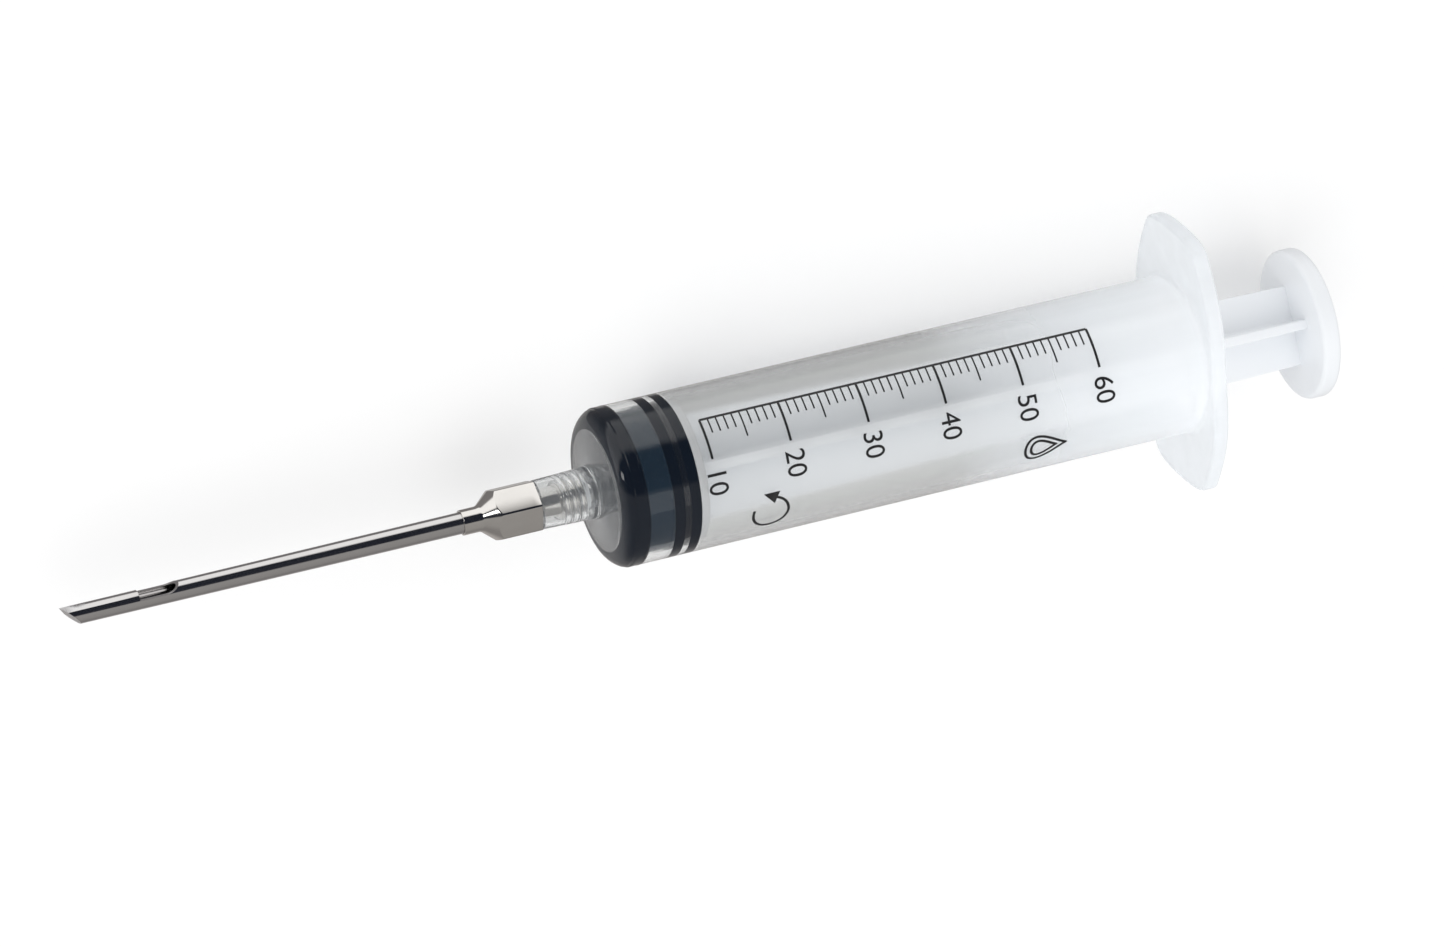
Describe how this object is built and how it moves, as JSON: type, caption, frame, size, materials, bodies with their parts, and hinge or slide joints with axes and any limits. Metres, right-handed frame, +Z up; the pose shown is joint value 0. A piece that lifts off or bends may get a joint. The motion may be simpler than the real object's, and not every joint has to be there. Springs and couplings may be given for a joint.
{
  "type": "meat injector",
  "caption": "Kitchen marinade syringe: clear barrel with finger flange, ribbed plunger rod with rubber piston, and a screw-in plated hub with a long needle that has a side window.",
  "frame": {"origin": "middle of the object's footprint, at the lowest edge of the finger flange, with the object lying on its side and the plunger fully home", "axes": "+X along the barrel from the needle to the thumb disc, +Y across to one finger lobe, +Z up, square to one straight side of the flange"},
  "size_m": [0.2563, 0.0538, 0.0352],
  "materials": {
    "clear_plastic": "clear polypropylene, glossy",
    "milky_plastic": "milky translucent polypropylene",
    "dark_rubber": "smooth moulded rubber, slightly shiny",
    "plated_brass": "bright nickel plate on brass",
    "stainless_steel": "drawn and lightly polished tube",
    "ground_steel": "ground end",
    "clear_silicone": "translucent silicone"
  },
  "bodies": {
    "barrel": {"barrel": "clear_plastic"},
    "piston": {"piston_seal": "dark_rubber"},
    "plunger": {"plunger_rod": "milky_plastic"},
    "needle_seal": {"hub_seal": "clear_silicone"},
    "needle": {"needle_hub": "plated_brass", "needle_tube": "stainless_steel", "needle_tip_plug": "ground_steel"}
  },
  "joints": [
    {"name": "plunger_slide", "type": "slide", "parent": "barrel", "child": "piston", "axis": [1, 0, 0], "range_m": [0, 0.1]},
    {"name": "plunger_spin", "type": "hinge", "parent": "piston", "child": "plunger", "pos_m": [0, 0, 0.0176], "axis": [1, 0, 0], "continuous": true},
    {"name": "needle_draw", "type": "slide", "parent": "barrel", "child": "needle_seal", "axis": [-1, 0, 0], "range_m": [0, 0.0053]},
    {"name": "needle_unscrew", "type": "hinge", "parent": "needle_seal", "child": "needle", "pos_m": [0, 0, 0.0176], "axis": [-1, 0, 0], "range_deg": [0, 1170]}
  ],
  "couplings": [
    {"joint": "needle_draw", "follows": "needle_unscrew", "m_per_rad": 0.00025465}
  ]
}
